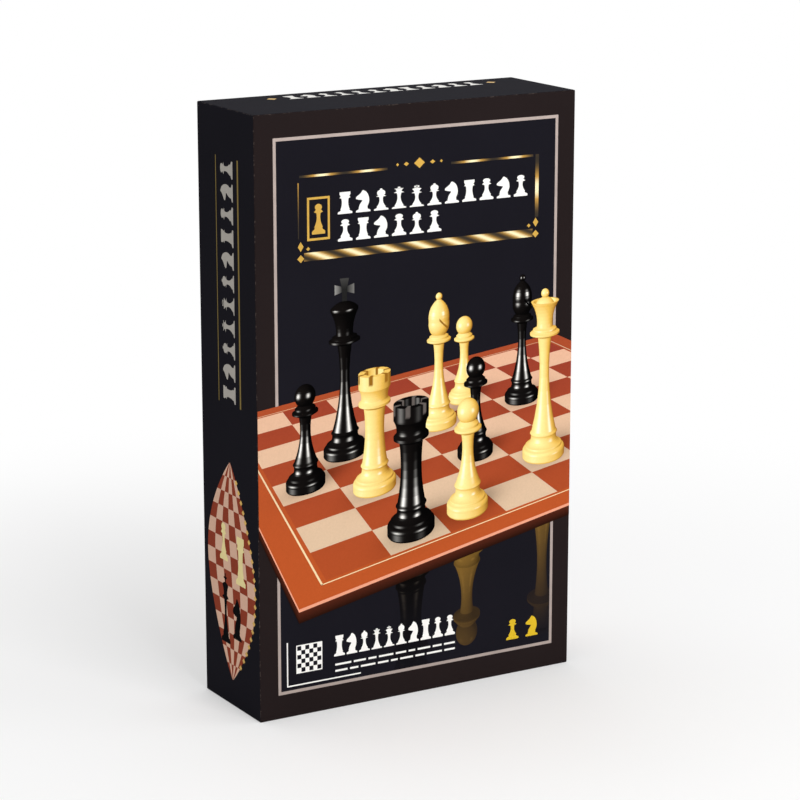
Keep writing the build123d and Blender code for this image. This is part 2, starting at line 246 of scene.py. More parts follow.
def moulded_plastic(name, colour, shade, roughness, scatter=0.0):
    """Glossy polystyrene with faint flow marks 14 mm apart and a very fine ripple."""
    material, tree, shader, place = start_material(
        name, Roughness=roughness, IOR=1.59, Subsurface_Weight=scatter,
        Subsurface_Radius=(1.0, 0.7, 0.35), Subsurface_Scale=1.2 * MM)
    plug(tree, shader, {"Base Color": drift(tree, place, 14, linear(colour), linear(shade))})
    fine_bump(tree, shader, place, 2.2, 0.06)
    return material


tray_sheet = moulded_plastic("vacuum_formed_polystyrene_sheet", "#d9d3c6", "#cdc6b8", 0.32)
cream = moulded_plastic("polished_cream_polystyrene", "#f2dda2", "#e9cb86", 0.2, 0.25)
black = moulded_plastic("polished_black_polystyrene", "#0c0c0d", "#121213", 0.16)
print("plastics:", tray_sheet.name, cream.name, black.name)

# %% [markdown]
# The playing face is printed paper. Its squares come from the place on the board: we divide the
# distances from the fold and from the middle by the square's side, round down, and add. An even
# sum is a light square. On the front leaf the columns are counted the other way, which swaps the
# two colours, so that the squares still alternate across the fold when the board lies open.
# %% Playing face
face_low, face_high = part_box("board_back_face")
face_edge = 12.0  # printed border outside the squares, in mm
fold_x = face_low.x / MM
square = (face_high.x - face_low.x) / MM / 4 - face_edge / 4
line_gap, line_half = 3.2, 0.5  # the cream line round the squares, in mm


def playing_face(name, swap):
    """Varnished print: brown and cream squares with wood figure, in a rust-brown border."""
    material, tree, shader, place = start_material(name, Roughness=0.34, IOR=1.5)
    x, _, z = add(tree, "SeparateXYZ", (place,)).outputs
    across = add(tree, "Math", (x, fold_x * MM), operation="SUBTRACT")
    along = add(tree, "Math", (z, height / 2 * MM), operation="SUBTRACT")
    counts = []
    for way in (across, along):
        steps = add(tree, "Math", (way, square * MM), operation="DIVIDE")
        counts.append(add(tree, "Math", (steps,), operation="FLOOR"))
    count = add(tree, "Math", (add(tree, "Math", counts, operation="ADD"), swap + 16.0),
                operation="ADD")
    odd = add(tree, "Math", (count, 2.0), operation="MODULO")
    grain_place = add(tree, "Mapping", {0: place, 3: (1.0, 1.0, 0.12)})
    grain = add(tree, "TexNoise", {"Vector": grain_place, "Scale": 1 / (2.0 * MM), "Detail": 5.0})
    light, dark, border = (
        add(tree, "Mix", {0: grain, 6: linear(pale), 7: linear(deep)}, data_type="RGBA")
        for pale, deep in (("#e2c09c", "#cfa27c"), ("#93402d", "#7c3222"), ("#b75a2c", "#9c4720")))
    board = add(tree, "Mix", {0: odd, 6: light, 7: dark}, data_type="RGBA")
    reach = add(tree, "Math", (across, add(tree, "Math", (along,), operation="ABSOLUTE")),
                operation="MAXIMUM")
    inside = add(tree, "Math", (reach, 4 * square * MM), operation="LESS_THAN")
    framed = add(tree, "Mix", {0: inside, 6: border, 7: board}, data_type="RGBA")
    line = add(tree, "Math", (reach, (4 * square + line_gap) * MM, line_half * MM),
               operation="COMPARE")
    lined = add(tree, "Mix", {0: line, 6: framed, 7: linear("#e8cfa4")}, data_type="RGBA")
    plug(tree, shader, {"Base Color": lined})
    fine_bump(tree, shader, place, 1.1, 0.05)
    return material


print("square of the board", round(square, 2), "mm")

# %% [markdown]
# Each solid keeps its own mesh and only gets its finish. The names of the nodes say which finish
# each one has, so a table is enough, and every node that isn't in it is a man.
# %% Dress the solids
finishes = {
    "lid_wrap": film_laminated_print(), "base_wrap": black_paper,
    "lid_shell": chipboard, "base_shell": chipboard, "tray": tray_sheet, "leaflet": white_paper,
    "board_back_core": chipboard, "board_front_core": chipboard,
    "board_back_face": playing_face("varnished_board_print", 0),
    "board_front_face": playing_face("varnished_board_print_over_the_fold", 1),
    "board_back_lining": leather_paper, "board_front_lining": leather_paper,
}
for node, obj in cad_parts.items():
    finish = finishes.get(node) or (cream if node.startswith("cream") else black)
    obj.data.materials.clear()
    obj.data.materials.append(finish)
print("solids dressed:", len(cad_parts))

# %% [markdown]
# Print is a very thin layer of ink or foil. We make each printed thing as a flat mesh that lies a
# few hundredths of a millimetre proud of the paper. A panel says where a face of the box is: its
# origin, the directions of its right and its up as someone faces it, and the way out of it.
# %% Panels
INK_LIFT, INK_STEP = 0.03, 0.02  # mm from paper to first ink, and ink to ink
leaflet_low, leaflet_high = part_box("leaflet")
panels = {
    "front": ((0, front_y, 0), (1, 0, 0), (0, 0, 1), (0, -1, 0)),
    "left_side": ((-width / 2, 0, 0), (0, -1, 0), (0, 0, 1), (-1, 0, 0)),
    "right_side": ((width / 2, 0, 0), (0, 1, 0), (0, 0, 1), (1, 0, 0)),
    "top": ((0, 0, height), (1, 0, 0), (0, 1, 0), (0, 0, 1)),
    "back": ((0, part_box("base_wrap")[1].y / MM, 0), (-1, 0, 0), (0, 0, 1), (0, 1, 0)),
    "leaflet": ((0, leaflet_low.y / MM, 0), (1, 0, 0), (0, 0, 1), (0, -1, 0)),
}


def on_panel(panel, u, v, lift):
    """Points of a face of the box, in metres: origin + u right + v up + lift out."""
    origin, right, up, out = (np.array(a, float) for a in panels[panel])
    u, v, lift = np.broadcast_arrays(u, v, lift)
    return (origin + u[..., None] * right + v[..., None] * up + lift[..., None] * out) * MM


print("panels:", *panels)

# %% [markdown]
# Everything that we add is a mesh of points and faces in numpy arrays, linked to the scene with its
# object at the origin. A print rides on the body that it is printed on. Most prints are flat
# patches with four corners.
# %% Meshes for print


def in_scene(name, data):
    """A new object that shows this data, in the scene."""
    obj = bpy.data.objects.new(name, data)
    bpy.context.scene.collection.objects.link(obj)
    return obj


def plain_mesh(name, points, faces, material):
    """An object from an array of points, in metres, and one of faces."""
    mesh = bpy.data.meshes.new(name)
    mesh.from_pydata(np.asarray(points).reshape(-1, 3).tolist(), [], np.asarray(faces).tolist())
    mesh.materials.append(material)
    return in_scene(name, mesh)


def mesh_object(name, points, faces, material, inks=None, body="lid", slot="printed_wrap"):
    """A mesh that rides on a body; inks are the colours of its points."""
    obj = plain_mesh(name, points, faces, material)
    if inks is not None:
        rgba = np.ones((len(obj.data.vertices), 4), np.float32)
        rgba[:, :3] = np.asarray(inks).reshape(-1, 3)
        ink = obj.data.color_attributes.new("ink", "FLOAT_COLOR", "POINT")
        ink.data.foreach_set("color", rgba.ravel())
    if body:
        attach(obj, body)
    return obj


def quad_rows(rows, columns):
    """Faces of a grid of points: each joins a point to the next in its row and the row above."""
    index = np.arange(rows * columns).reshape(rows, columns)
    corners = [index[:-1, :-1], index[:-1, 1:], index[1:, 1:], index[1:, :-1]]
    return np.stack(corners, -1).reshape(-1, 4)


def loose_quads(corners):
    """Separate four-cornered patches, as (points, faces) from an array (n, 4, 2 or 3)."""
    corners = np.asarray(corners, float)
    return corners.reshape(-1, corners.shape[-1]), np.arange(len(corners) * 4).reshape(-1, 4)


def bars(*spans):
    """Upright rectangles from (left, bottom, right, top), as corners anticlockwise."""
    return [[(a, b), (c, b), (c, d), (a, d)] for a, b, c, d in spans]


def rectangle_line(left_edge, low_edge, right_edge, top_edge, wide):
    """Four bars that make an upright frame of the given outside size."""
    return bars((left_edge, low_edge, right_edge, low_edge + wide),
                (left_edge, top_edge - wide, right_edge, top_edge),
                (left_edge, low_edge + wide, left_edge + wide, top_edge - wide),
                (right_edge - wide, low_edge + wide, right_edge, top_edge - wide))


def print_patches(name, panel, corners, material, layer=0, **where):
    """Lay flat patches on a panel as one printed piece, in a layer of ink over the first."""
    points, faces = loose_quads(corners)
    placed = on_panel(panel, points[:, 0], points[:, 1], INK_LIFT + layer * INK_STEP)
    mesh_object(name, placed, faces, material, **where)


print("faces of a grid of 3 by 3 points", len(quad_rows(3, 3)))

# %% [markdown]
# Foil is a very thin layer of metal from a hot stamp: metallic, with a soft highlight. On the
# cartouche bars the gold has painted highlight and shade: bright and dark bands along its length,
# kept as a colour with each point, in place of the light on the foil's sheen.
# The inks lie under the same film as the rest of the box, so they share its shader values.
# %% Foils and inks


def mottled(name, colour, size_mm, dark, **sockets):
    """A foil or ink that drifts between its colour and a darker share of it over size_mm."""
    material, tree, shader, place = start_material(name, **sockets)
    dull = (*(dark * linear_rgb(colour)).tolist(), 1.0)
    plug(tree, shader, {"Base Color": drift(tree, place, size_mm, dull, linear(colour))})
    return material


def foil(name, colour, roughness):
    """Hot-stamped foil of one colour, patchy over 6 mm."""
    return mottled(name, colour, 6, 0.72, Metallic=0.7, Roughness=roughness)


def flat_ink(name, colour):
    """One flat ink under the film, mottled a little as offset print is."""
    return mottled(name, colour, 3, 0.9, **FILM)


def point_ink(name, **sockets):
    """Print whose colour is kept with the points of the mesh, with a trace of paper tooth."""
    material, tree, shader, place = start_material(name, **sockets)
    colour = add(tree, "VertexColor", layer_name="ink")
    plug(tree, shader, {"Base Color": clouded(tree, colour, place, 0.8, 0.07)})
    return material


silver_foil = foil("rose_silver_foil", "#b7a7a0", 0.45)
gold_foil = foil("bright_gold_foil", "#d6aa4a", 0.42)
# foil whose point colours are painted highlight and shade: bright and dark bands along each bar
painted_highlight_foil = point_ink("gold_foil_with_painted_highlights", Metallic=0.55, Roughness=0.42)
white_ink = flat_ink("white_ink", "#f1efeb")
grey_ink = flat_ink("light_grey_ink", "#b5b0a8")
yellow_ink = flat_ink("yellow_ink", "#d9b52c")
dull_gold_ink = flat_ink("dull_gold_ink", "#8c7844")
men_inks = {"cream": flat_ink("cream_ink", "#f4e3a4"), "black": flat_ink("black_ink", "#0b0a0b")}
picture = point_ink("offset_picture_print", **FILM)
print("foils and inks are ready, and the picture is printed in", picture.name)

# %% [markdown]
# A man is a profile turned about an axis. The same stations that shape the solids give every
# printed man: each is (radius, height, bulge), and an arc of that bulge joins it to the last.
# %% Profiles of the men
heights = {"king": 66.0, "queen": 60.0, "bishop": 53.0, "rook": 40.0, "pawn": 36.0}
radii = {"king": 9.0, "queen": 8.75, "bishop": 8.25, "rook": 8.25, "pawn": 7.5}
ARC_STEPS = 7


def sampled(stations):
    """Radius and height along a profile. An arc of chord c and bulge b is taken as the chord plus
    4 b t (1 - t) along its normal, which stays close to the true circle while b is under c / 3."""
    out = [stations[0][:2]]
    for (r0, z0, _), (r1, z1, bulge) in zip(stations, stations[1:]):
        t = np.linspace(0, 1, ARC_STEPS + 1)[1:] if bulge else np.array([1.0])
        length = math.hypot(r1 - r0, z1 - z0)
        swell = 4 * bulge * t * (1 - t)
        r = r0 + (r1 - r0) * t + swell * (z1 - z0) / length
        z = z0 + (z1 - z0) * t - swell * (r1 - r0) / length
        out += list(zip(r.tolist(), z.tolist()))
    return np.array(out)


def foot(radius):
    """Plinth, rounded step, bell and ring."""
    return [(radius - 0.4, 0, 0), (radius, 0.5, 0), (radius, 2.3, 0), (0.87 * radius, 4.0, 0.45),
            (0.87 * radius, 4.6, 0), (0.60 * radius, 8.2, -0.9), (0.65 * radius, 8.8, 0),
            (0.58 * radius, 9.6, 0)]


def stem(neck, waist, reach, z):
    """Hollow-sided stem with a double collar."""
    return [(neck, z, -waist), (reach, z + 1.2, 0), (reach, z + 1.8, 0), (0.78 * reach, z + 2.3, 0),
            (0.80 * reach, z + 3.0, 0), (neck + 0.5, z + 3.6, 0)]


def round_top(neck, ball, top):
    """A ball on a neck, as points on its circle from the neck round to the axis."""
    angle = np.linspace(-math.acos(neck / ball), math.pi / 2, 14)
    return [(ball * math.cos(a), top - ball + ball * math.sin(a), 0) for a in angle]


def profile(kind):
    """The outline of one kind of man, from foot to top."""
    r, h = radii[kind], heights[kind]
    if kind == "pawn":
        ball = 0.53 * r
        rest = stem(0.32 * r, 1.2, 0.66 * r, h - 2 * ball - 3.0)[:-1]
        rest += round_top(0.32 * r + 0.3, ball, h)
    elif kind == "rook":
        z = h - 9.0
        rest = [(0.5 * r, z - 2.6, -0.8), (0.74 * r, z - 1.6, 0), (0.74 * r, z - 0.8, 0),
                (0.62 * r, z, 0), (0.74 * r, h - 4.8, -0.4), (0.74 * r, h, 0), (0.46 * r, h, 0),
                (0.46 * r, h - 3.4, 0), (0, h - 3.4, 0)]
    elif kind == "bishop":
        z, knob = h - 16.5, 0.18 * r
        rest = stem(0.30 * r, 1.5, 0.66 * r, z - 3.6)
        rest += [(0.56 * r, z + 5.4, 0.7), (0.6 * knob, h - 1.8 * knob, 1.4)]
        rest += round_top(0.6 * knob, knob, h)[1:]
    elif kind == "queen":
        z, rim, knob = h - 13.5, 0.66 * r, 0.19 * r
        rest = stem(0.32 * r, 1.8, 0.70 * r, z - 3.6)
        rest += [(rim, h - 4.4, -0.9), (rim - 1.0, h - 4.4, 0), (rim - 1.8, h - 5.6, 0),
                 (0.6 * knob, h - 1.8 * knob, 0.5)] + round_top(0.6 * knob, knob, h)[1:]
    else:
        dome, rim = h - 9.4, 0.64 * r
        rest = stem(0.33 * r, 2.0, 0.72 * r, dome - 15.1)
        rest += [(rim, dome - 2.4, -0.7), (rim, dome - 1.6, 0), (0, dome + 0.9, 0.6)]
    return sampled(foot(r) + rest)


print("points in a king's profile", len(profile("king")))

# %% [markdown]
# The picture on the front shows a board with men on it, seen from a little above. We draw it as a
# photographer would take it: a shift camera stands in front of a real-sized board, and each point
# is carried to the paper by dividing by its depth. Nearer things lie a few hundredths of a
# millimetre higher, so they cover what is behind them, as in life. What bleeds off the paper is
# cut a little inside the folds.
# %% Picture camera
eye = np.array([10.0, -517.7, 173.0])  # mm from the middle of the pictured board
lens, horizon, middle = 455.0, 272.9, 34.7  # scale at 1 mm depth, and the eye's place
board_turn = math.radians(24.0)
near_depth, far_depth = 340.0, 700.0
turn_cos, turn_sin = math.cos(board_turn), math.sin(board_turn)


def projected(points):
    """Place on the front of points of the pictured scene: u = lens x / depth, and v the same with
    height from the eye's level; the depth comes back too."""
    x = points[..., 0] * turn_cos - points[..., 1] * turn_sin
    far = points[..., 0] * turn_sin + points[..., 1] * turn_cos - eye[1]
    return middle + lens * (x - eye[0]) / far, horizon + lens * (points[..., 2] - eye[2]) / far, far


def pictured(points, lowest=0.05, relief=0.12):
    """Lay points of the pictured scene on the front, the nearer the higher by up to relief mm."""
    u, v, far = projected(points)
    return on_panel("front", u, v, lowest + relief * (far_depth - far) / (far_depth - near_depth))


def trim_to_panel(obj, margin=0.3, bottom=0.0):
    """Cut a printed piece a margin inside both side folds, and at a height above the bottom."""
    mesh = bmesh.new()
    mesh.from_mesh(obj.data)
    side = width / 2 - margin
    for place, way in (((side, 0, 0), (1, 0, 0)), ((-side, 0, 0), (-1, 0, 0)),
                       ((0, 0, bottom), (0, 0, -1))):
        geometry = mesh.verts[:] + mesh.edges[:] + mesh.faces[:]
        bmesh.ops.bisect_plane(mesh, geom=geometry, plane_co=np.array(place) * MM, plane_no=way,
                               clear_outer=True)
    mesh.to_mesh(obj.data)
    mesh.free()


print("the pictured board is turned by", round(math.degrees(board_turn)), "degrees")

# %% [markdown]
# The pictured board is drawn in tiles, and each tile is a small grid of points, so its ink can
# carry shade. The ink is a plain formula: the tile's colour, warmer and brighter near the viewer,
# times the share of light that the men's shadows leave.
# %% Tiles and shadows
cell, rim_width, board_edge = 28.0, 14.0, 5.0
half_play = 4 * cell
span = half_play + rim_width
PATCH, MEN_SCALE = 8, 1.3
shadow_way, shadow_depth = np.array([0.80, 0.60]), 0.62
shadow_start, shadow_long, shadow_wide = 0.8, 1.9, 0.95  # in radii of the man's foot
cast = [("rook", "black", 1, 0), ("pawn", "cream", 2, 0), ("queen", "cream", 4, 1),
        ("rook", "cream", 1, 2), ("pawn", "black", 3, 2), ("pawn", "black", 0, 3),
        ("king", "black", 1, 4), ("bishop", "cream", 3, 4), ("bishop", "black", 5, 4),
        ("pawn", "cream", 4, 5)]


def square_centre(column, row):
    """Middle of a square of the pictured board."""
    return np.array([(column - 3.5) * cell, (row - 3.5) * cell, 0.0])


def tiles(spans):
    """Grids over rectangles (x0, y0, x1, y1): points (tile, row, column, xyz), and faces."""
    x0, y0, x1, y1 = np.array(spans, float).T[:, :, None, None]
    t = np.linspace(0, 1, PATCH + 1)
    x, y = np.broadcast_arrays(x0 + (x1 - x0) * t, y0 + (y1 - y0) * t[:, None])
    starts = np.arange(len(spans))[:, None, None] * t.size ** 2
    return np.stack([x, y, np.zeros_like(x)], -1), starts + quad_rows(t.size, t.size)


def light_left(points):
    """Share of light on the board: for each man 1 - 0.62 exp(-d squared), with d from a spot behind
    his foot, and twice as long along the shadow as across it."""
    share = np.ones(points.shape[:-1])
    for kind, _, column, row in cast:
        reach = MEN_SCALE * radii[kind]
        off = points[..., :2] - square_centre(column, row)[:2]
        along = (off @ shadow_way - shadow_start * reach) / (shadow_long * reach)
        across = off @ np.array([-shadow_way[1], shadow_way[0]]) / (shadow_wide * reach)
        share = share * (1 - shadow_depth * np.exp(-along ** 2 - across ** 2))
    return share


def board_ink(points, codes):
    """Tile colours (near, far) blended by depth and dimmed by the shadows."""
    _, _, far = projected(points)
    away = np.clip((far - near_depth) / (far_depth - near_depth), 0, 1)[..., None]
    near, distant = (np.array([linear_rgb(pair[i]) for pair in codes])[:, None, None]
                     for i in (0, 1))
    return (near + (distant - near) * away) * light_left(points)[..., None]


def print_tiles(name, spans, codes, lowest=0.05):
    """Print tiles of the pictured board and cut them at the folds; gives the number of points."""
    points, faces = tiles(spans)
    trim_to_panel(mesh_object(name, pictured(points, lowest), faces.reshape(-1, 4), picture,
                              board_ink(points, codes)))
    return points[..., 0].size


print("light left beside the first man", light_left(square_centre(*cast[0][2:])).round(2))

# %% [markdown]
# Now the tiles are laid: the 64 squares, the brown rim, a cream line on it, and the two edges of
# the board that the viewer sees, each with a light line along its top.
# %% Pictured board
light_codes, dark_codes = ("#cfb799", "#dba78a"), ("#aa4c25", "#86332a")
rim_codes, line_codes = ("#b45226", "#9a4429"), ("#ecd3a4", "#c9a58a")
squares, codes = [], []
for column in range(8):
    for row in range(8):
        x, y = (column - 4) * cell, (row - 4) * cell
        squares.append((x, y, x + cell, y + cell))
        codes.append(light_codes if (column + row) % 2 else dark_codes)
eighths = np.arange(-4, 5) / 4
for a, b in zip(eighths, eighths[1:]):
    squares += [(a * span, -span, b * span, -half_play), (a * span, half_play, b * span, span),
                (-span, a * half_play, -half_play, b * half_play),
                (half_play, a * half_play, span, b * half_play)]
    codes += [rim_codes] * 4
print("points in the pictured board", print_tiles("picture_board", squares, codes))

line_out, line_wide = half_play + 2.6, 0.8
line_in = line_out - line_wide
lines = [(-line_out, -line_out, line_out, -line_in), (-line_out, line_in, line_out, line_out),
         (-line_out, -line_out, -line_in, line_out), (line_in, -line_out, line_out, line_out)]
print_tiles("picture_board_line", lines, [line_codes] * 4, lowest=0.056)

arris = 1.1  # the light line along the top of the edge
edges, edge_inks = [], []
for (x0, y0), (x1, y1) in (((-span, -span), (span, -span)), ((-span, span), (-span, -span))):
    for low, high, below, over in ((-board_edge, -arris, "#241009", "#4d2216"),
                                   (-arris, 0, "#e39a7c", "#e39a7c")):
        edges.append([(x0, y0, low), (x1, y1, low), (x1, y1, high), (x0, y0, high)])
        edge_inks.append([linear_rgb(below)] * 2 + [linear_rgb(over)] * 2)
edge_points, edge_faces = loose_quads(edges)
trim_to_panel(mesh_object("picture_board_edge", pictured(edge_points), edge_faces, picture,
                          edge_inks))

# %% [markdown]
# A pictured man is his profile turned in full, and his ink is a lighting formula. One soft lamp
# gives the body tone. Two windows, left and right of the viewer, each leave a narrow glint, which
# is what makes him look glossy.
# %% Turning and lighting
AROUND = 72  # steps round a man
tones = {"cream": ("#8e5f1c", "#dcae4e", "#f6e497", "#fffbe2"),
         "black": ("#020202", "#050404", "#120f0e", "#fbf8f2")}


def board_way(x, y, z):
    """A direction seen by the viewer (right, away, up), turned into the board's own axes."""
    way = np.array([x * turn_cos + y * turn_sin, y * turn_cos - x * turn_sin, z])
    return way / np.linalg.norm(way)


to_lamp = board_way(-0.5, -0.75, 0.45)
windows = ((board_way(-0.62, -1.0, 0.28), 70, 1.1),  # half-way to a window, sharpness, strength
           (board_way(0.55, -1.0, 0.28), 110, 1.0))
glint_share = {"cream": 0.7, "black": 1.0}


def turned_surface(outline):
    """Grids of the points of a profile turned about +Z, (r cos a, r sin a, z), and of its normals,
    which are the profile's own carried round in the same way."""
    angle = np.linspace(0, 2 * math.pi, AROUND + 1)
    slope = np.gradient(outline, axis=0)
    normal = np.stack([slope[:, 1], -slope[:, 0]], -1)
    normal = normal / np.maximum(np.hypot(*normal.T), 1e-9)[:, None]
    return [np.stack([pair[:, :1] * np.cos(angle), pair[:, :1] * np.sin(angle),
                      np.repeat(pair[:, 1:], len(angle), 1)], -1) for pair in (outline, normal)]


def refined(outline, step):
    """More points along a profile, no further apart than step, with its own corners kept."""
    along = np.concatenate([[0], np.cumsum(np.hypot(*np.diff(outline, axis=0).T))])
    wanted = np.union1d(along, np.arange(0, along[-1], step))
    return np.stack([np.interp(wanted, along, values) for values in outline.T], -1)


def lit(normals, colour):
    """Body tone from a lamp at the upper left, and a glint for each window: cos to a high power."""
    deep, body, light, glint = (linear_rgb(code) for code in tones[colour])
    tone = np.clip((normals @ to_lamp + 0.3) / 1.3, 0, 1)[..., None]
    ink = np.where(tone < 0.5, deep + (body - deep) * tone * 2,
                   body + (light - body) * (tone * 2 - 1))
    glints = sum(strength * np.clip(normals @ way, 0, 1) ** power
                 for way, power, strength in windows)
    return ink + (glint - ink) * np.clip(glints * glint_share[colour], 0, 1)[..., None]


print("ink of a cream man towards the lamp", lit(to_lamp, "cream").round(2))

# %% [markdown]
# Three kinds of man aren't wholly turned. The king's cross and the bishop's slot are small patches
# of their own, and the cuts in a rook's crown are inked on it.
# %% Crown, cross and slot
to_right, to_viewer, upward = board_way(1, 0, 0), board_way(0, -1, 0), board_way(0, 0, 1)
cut_codes = {"cream": "#8e5f1c", "black": "#5d5652"}


def saw_cuts(points, inks, colour):
    """Ink the six cuts in a rook's crown: shade on cream, and a grey gleam on black."""
    turn = np.arctan2(points[..., 1], points[..., 0])
    cut = (points[..., 2] > heights["rook"] - 2.6) & (np.cos(6 * turn) > 0.6)
    return np.where(cut[..., None], linear_rgb(cut_codes[colour]), inks)


def king_cross(colour):
    """The front of the king's cross, with four flared arms: corners (n, 4, 3) and their inks. Its
    ink is that of a rounded body, whose normal turns with the distance to the right."""
    reach, arm, flare = 4.1, 1.0, 1.9
    flat = np.array([[(-arm, -5.4), (arm, -5.4), (arm, 0), (-arm, 0)],
                     [(-arm, 0), (arm, 0), (flare, reach), (-flare, reach)],
                     [(-reach, -flare), (-arm, -arm), (-arm, arm), (-reach, flare)],
                     [(arm, -arm), (reach, -flare), (reach, flare), (arm, arm)]], float)
    x, z = flat[..., :1], flat[..., 1:]
    corners = to_right * x + upward * (z + heights["king"] - reach)
    ways = to_right * x / 6 + to_viewer + 0.25 * upward
    return corners, 0.012 + 0.25 * lit(ways / np.linalg.norm(ways, axis=-1, keepdims=True), colour)


def bishop_slot(outline, colour):
    """The slanted slot in a bishop's head: a dark ribbon 1 mm high on the turned surface, at angle
    a from the viewer's right, that falls by 1.1 mm for each mm to the right. Its level needs the
    radius there, so the two are worked out in turn. It lies 3 mm nearer, so that it shows."""
    angle = np.radians(np.linspace(2, 82, 15))
    around = np.cos(angle)[:, None] * to_right + np.sin(angle)[:, None] * to_viewer
    rows = []
    for half in (-0.5, 0.5):
        radius = 3.4
        for _ in range(2):
            level = heights["bishop"] - 8.4 + half - 1.1 * radius * np.cos(angle)
            radius = np.interp(level, outline[:, 1], outline[:, 0])
        rows.append(radius[:, None] * around + to_viewer * 3.0 + level[:, None] * upward)
    low_row, high_row = rows
    corners = np.stack([low_row[1:], low_row[:-1], high_row[:-1], high_row[1:]], 1)
    return corners, np.broadcast_to(linear_rgb(tones[colour][0]), corners.shape)


print("patches in a king's cross", len(king_cross("black")[0]))

# %% [markdown]
# Under the board the black table shows three of the men upside down. A reflection fades with depth,
# lies under all other print, and stops at the frame line.
# %% Pictured men
PROFILE_STEP = 0.8  # mm between points along a profile, at most
mirror_codes = {"cream": "#80602a", "black": "#27231f"}
mirror_depth = 54.0  # how much of a man's height shows upside down, in mm
men_lift, mirror_lift = (0.05, 0.12), (0.004, 0.02)  # mm: the lowest, and the relief over it


def reflected(points, inks, colour):
    """A man upside down below the board, in one dim ink that his own tone varies, fading out."""
    fade = np.clip(1.05 - points[:, 2:] / (MEN_SCALE * mirror_depth), 0, 1) ** 1.3
    night = linear_rgb("#18171d")
    dim = linear_rgb(mirror_codes[colour]) * (0.12 + 1.15 * inks.mean(1, keepdims=True))
    return points * [1, 1, -1] - 2 * board_edge * upward, night + (dim - night) * fade


def pictured_man(kind, colour, column, row, mirrored=False):
    """One man on a square of the pictured board, or his reflection in the table. Only the faces
    that look towards the viewer are printed."""
    outline = refined(profile(kind), PROFILE_STEP)
    points, normals = turned_surface(outline)
    faces, inks = quad_rows(*points.shape[:2]), lit(normals, colour)
    if kind == "rook":
        inks = saw_cuts(points, inks, colour)
    points, inks = points.reshape(-1, 3), inks.reshape(-1, 3)
    if kind in ("king", "bishop"):
        corners, extra = king_cross(colour) if kind == "king" else bishop_slot(outline, colour)
        patch_points, patch_faces = loose_quads(corners)
        faces = np.vstack([faces, patch_faces + len(points)])
        points = np.vstack([points, patch_points])
        inks = np.vstack([inks, extra.reshape(-1, 3)])
    points = points * MEN_SCALE
    if mirrored:
        points, inks = reflected(points, inks, colour)
    placed = pictured(points + square_centre(column, row), *(mirror_lift if mirrored else men_lift))
    corners = placed[faces]
    edge_a, edge_b = corners[:, 2] - corners[:, 0], corners[:, 3] - corners[:, 1]
    area = edge_a[:, 0] * edge_b[:, 2] - edge_a[:, 2] * edge_b[:, 0]
    if mirrored:
        faces, area = faces[:, ::-1], -area
    name = f"picture_{'reflected_' if mirrored else ''}{colour}_{kind}_{column}{row}"
    man = mesh_object(name, placed, faces[area > 1e-14], picture, inks)
    trim_to_panel(man, *((frame_side, frame_bottom) if mirrored else ()))


for man in cast:
    pictured_man(*man)
for man in cast[:3]:
    pictured_man(*man, mirrored=True)
print("pictured men:", len(cast), "and 3 reflections")

# %% [markdown]
# The frame line runs round the front, a border's width in from the folds. The picture covers it
# where the board bleeds off both sides, so each upright line is cut there. The heights of the cuts
# are read off the pictured board's own edges, so they follow if the picture changes.
# %% Frame line


def edge_level(start, end, u):
    """Height on the front at which an edge of the pictured board crosses the upright line at u."""
    across, level, _ = projected(np.linspace(start, end, 400))
    order = np.argsort(across)
    return float(np.interp(u, across[order], level[order]))


frame_wide = 1.4
left, right = -width / 2 + frame_side, width / 2 - frame_side
low, high = frame_bottom, height - frame_top
near_left, near_right = (-span, -span, -board_edge), (span, -span, -board_edge)
far_left, far_right = (-span, span, 0), (span, span, 0)
left_under = edge_level(near_left, (-span, span, -board_edge), left)
left_over = edge_level(far_left, far_right, left)
right_under = edge_level(near_left, near_right, right)
right_over = edge_level(far_left, far_right, right)
print_patches("frame_line", "front", bars(
    (left, high - frame_wide, right, high), (left, low, right, low + frame_wide),
    (left, left_over, left + frame_wide, high - frame_wide),
    (left, low + frame_wide, left + frame_wide, left_under),
    (right - frame_wide, right_over, right, high - frame_wide),
    (right - frame_wide, low + frame_wide, right, right_under)), silver_foil)
print("frame line cut at", *(round(v, 1) for v in (left_under, left_over, right_under, right_over)))

# %% [markdown]
# The title place is a foil cartouche: a thin broken line on top, a bar at the right, and a twisted
# ribbon of gold along the bottom. A foil bar here is a strip of points with painted highlights:
# its tone goes from dark to bright and back along it, in place of the light on the foil. On the
# ribbon the same bands also draw its twist. The words that such a place holds are left out; two
# rows of plain chess-man shapes, as in printed diagrams, stand there instead.
# %% Cartouche
panel_left, panel_right, panel_low, panel_top = -60.0, 61.5, 204.8, 239.8
top_line, right_line, left_line = panel_top - 0.4, panel_right - 0.9, panel_left + 0.4
gap_half = 16.0  # half of the break in the top line, in mm
# colours of the foil bands: bronze for painted shade, rich gold between, pale gold for painted
# highlight
bronze, rich_gold, painted_highlight_gold = (linear_rgb(code) for code in ("#241a08", "#b98c3c", "#f6e9bb"))


